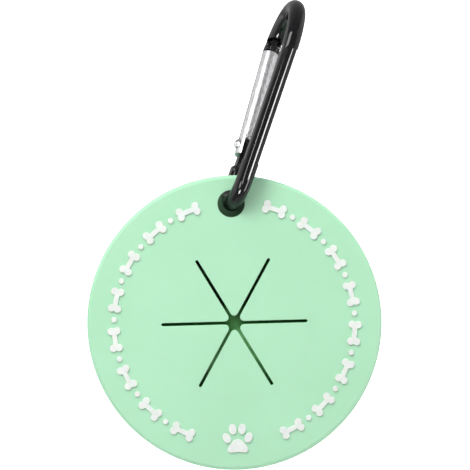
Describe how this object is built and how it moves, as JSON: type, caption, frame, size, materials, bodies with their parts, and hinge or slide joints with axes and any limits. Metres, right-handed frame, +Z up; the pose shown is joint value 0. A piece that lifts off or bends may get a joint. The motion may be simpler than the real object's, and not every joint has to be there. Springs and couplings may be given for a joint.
{
  "type": "dog poop bag dispenser",
  "caption": "Round soft silicone case for a roll of waste bags, with a slit star outlet in its flat face and a carabiner through its hanging hole.",
  "frame": {"origin": "inside of the carabiner's upper bend, where a ring or strap sits", "axes": "+Z up, as the case hangs; -Y is the way the round face looks; +X is to the right seen from the front"},
  "size_m": [0.08, 0.0409, 0.1281],
  "materials": {
    "mint_silicone": "matte",
    "white_silicone": "matte",
    "black_rod": "gloss",
    "silver_gate": "satin",
    "pin_steel": "satin",
    "bag_film": "satin",
    "core_board": "matte"
  },
  "bodies": {
    "clip": {"carabiner_body": "black_rod"},
    "gate_arm": {"gate": "silver_gate", "gate_rivet": "pin_steel", "latch_pin": "pin_steel", "gate_spring": "pin_steel", "spring_plunger": "pin_steel"},
    "case": {"front_shell": "mint_silicone", "rim_bones": "white_silicone", "rim_dots": "white_silicone", "paw_pad": "white_silicone", "paw_toes": "white_silicone"},
    "cap": {"back_cap": "mint_silicone"},
    "roll": {"roll_core": "core_board", "bag_roll": "bag_film"},
    "flap_1": {"star_flap_1": "mint_silicone"},
    "flap_2": {"star_flap_2": "mint_silicone"},
    "flap_3": {"star_flap_3": "mint_silicone"},
    "flap_4": {"star_flap_4": "mint_silicone"},
    "flap_5": {"star_flap_5": "mint_silicone"},
    "flap_6": {"star_flap_6": "mint_silicone"}
  },
  "joints": [
    {"name": "gate_hinge", "type": "hinge", "parent": "clip", "child": "gate_arm", "pos_m": [-0.01377, 0.0032, -0.03532], "axis": [0.9216, 0.1822, -0.3427], "range_deg": [0, 36], "stiffness_Nm_per_rad": 0.02, "springref_deg": -34.38},
    {"name": "case_swing", "type": "hinge", "parent": "clip", "child": "case", "pos_m": [-0.01806, -0.00644, -0.05127], "axis": [0, 1, 0], "range_deg": [-26, 63]},
    {"name": "cap_slide", "type": "slide", "parent": "case", "child": "cap", "axis": [0, 1, 0], "range_m": [0, 0.04]},
    {"name": "roll_spin", "type": "hinge", "parent": "case", "child": "roll", "pos_m": [-0.01806, 0.00936, -0.09239], "axis": [1, 0, 0], "continuous": true},
    {"name": "flap_1_bend", "type": "hinge", "parent": "case", "child": "flap_1", "pos_m": [-0.01806, -0.00694, -0.06642], "axis": [-1, 0, 0], "range_deg": [0, 35], "stiffness_Nm_per_rad": 0.003},
    {"name": "flap_2_bend", "type": "hinge", "parent": "case", "child": "flap_2", "pos_m": [-0.03291, -0.00694, -0.07499], "axis": [-0.5, 0, -0.866], "range_deg": [0, 35], "stiffness_Nm_per_rad": 0.003},
    {"name": "flap_3_bend", "type": "hinge", "parent": "case", "child": "flap_3", "pos_m": [-0.03291, -0.00694, -0.09214], "axis": [0.5, 0, -0.866], "range_deg": [0, 35], "stiffness_Nm_per_rad": 0.003},
    {"name": "flap_4_bend", "type": "hinge", "parent": "case", "child": "flap_4", "pos_m": [-0.01806, -0.00694, -0.10071], "axis": [1, 0, 0], "range_deg": [0, 35], "stiffness_Nm_per_rad": 0.003},
    {"name": "flap_5_bend", "type": "hinge", "parent": "case", "child": "flap_5", "pos_m": [-0.00321, -0.00694, -0.09214], "axis": [0.5, 0, 0.866], "range_deg": [0, 35], "stiffness_Nm_per_rad": 0.003},
    {"name": "flap_6_bend", "type": "hinge", "parent": "case", "child": "flap_6", "pos_m": [-0.00321, -0.00694, -0.07499], "axis": [-0.5, 0, 0.866], "range_deg": [0, 35], "stiffness_Nm_per_rad": 0.003}
  ]
}
